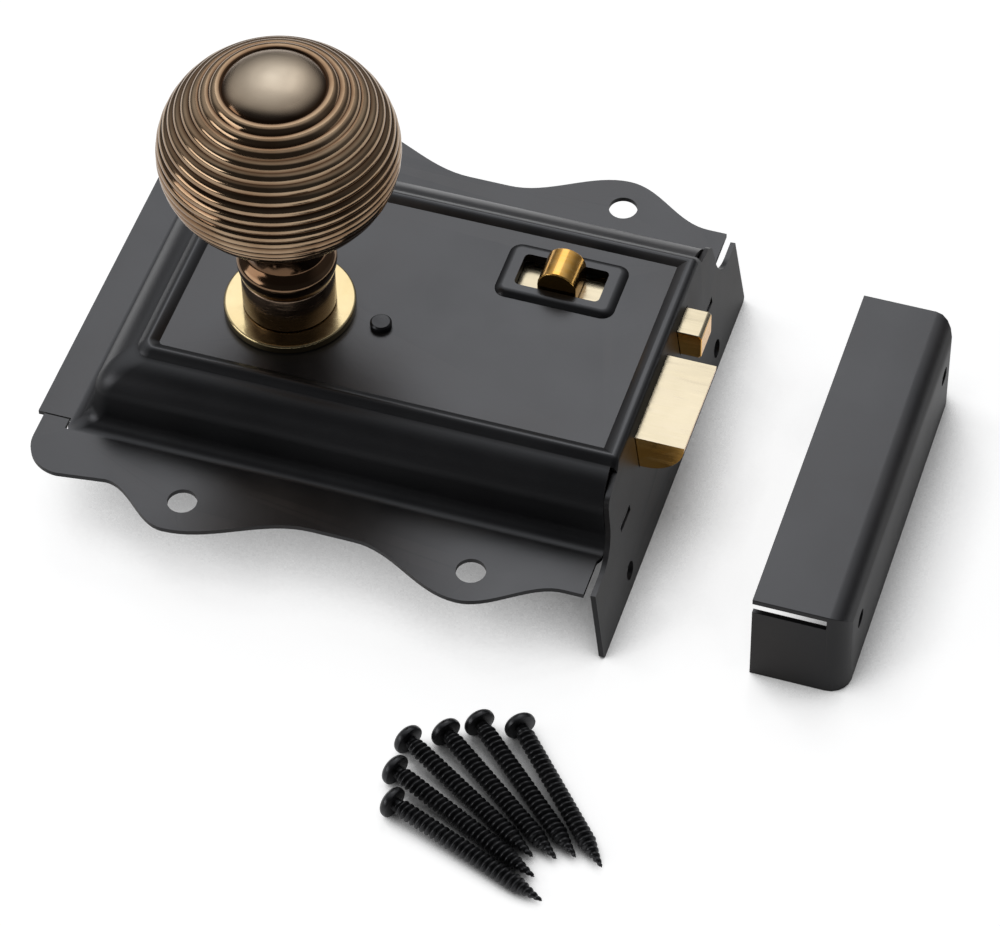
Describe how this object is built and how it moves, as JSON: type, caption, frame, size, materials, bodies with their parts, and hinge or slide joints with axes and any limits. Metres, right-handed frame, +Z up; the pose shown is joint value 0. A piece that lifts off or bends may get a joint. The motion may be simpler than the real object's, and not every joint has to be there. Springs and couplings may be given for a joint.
{
  "type": "rim night latch",
  "caption": "Surface-fixed rim night latch: pressed case with a reeded knob, sprung latch bolt and thumb-slid night bolt, with its box keep and wood screws.",
  "frame": {"origin": "middle of the set's footprint, on the surface it lies on", "axes": "+X from the latch case to the keep, square to the keep's screw face; +Y along the forend, away from the loose screws; +Z up, out of the door's face"},
  "size_m": [0.1934, 0.1912, 0.1105],
  "materials": {
    "black_steel": "satin black lacquer on pressed steel",
    "aged_brass": "brown aged brass with rubbed crests",
    "polished_brass": "bright polished",
    "plain_steel": "plain zinc-grey steel"
  },
  "bodies": {
    "latch_case": {"case": "black_steel", "back_plate": "plain_steel", "back_plate_screw": "plain_steel", "case_post": "black_steel", "rose": "polished_brass", "night_bolt_guide": "plain_steel", "night_bolt_spring": "plain_steel", "latch_spring": "plain_steel", "keep": "black_steel", "wood_screw_1": "black_steel", "wood_screw_2": "black_steel", "wood_screw_3": "black_steel", "wood_screw_4": "black_steel", "wood_screw_5": "black_steel", "wood_screw_6": "black_steel"},
    "knob_set": {"knob": "aged_brass", "neck_sleeve": "aged_brass", "spindle": "plain_steel", "grub_screw": "plain_steel", "follower": "plain_steel"},
    "latch_slider": {"latch_bolt": "polished_brass", "latch_tail": "plain_steel", "latch_pin": "plain_steel", "spring_rod": "plain_steel"},
    "night_bolt_slider": {"night_bolt": "polished_brass", "thumb_button": "polished_brass", "button_pin": "plain_steel"}
  },
  "joints": [
    {"name": "knob_turn", "type": "hinge", "parent": "latch_case", "child": "knob_set", "pos_m": [-0.0469, 0.02065, 0.0376], "axis": [0, 0, -1], "range_deg": [0, 60]},
    {"name": "latch_slide", "type": "slide", "parent": "latch_case", "child": "latch_slider", "axis": [-1, 0, 0], "range_m": [0, 0.0116], "stiffness_N_per_m": 80, "springref_m": -0.01, "deforming": ["latch_spring"]},
    {"name": "night_bolt_slide", "type": "slide", "parent": "latch_case", "child": "night_bolt_slider", "axis": [1, 0, 0], "range_m": [-0.005, 0.005]}
  ],
  "couplings": [
    {"joint": "latch_slide", "follows": "knob_turn", "m_per_rad": 0.010982}
  ]
}
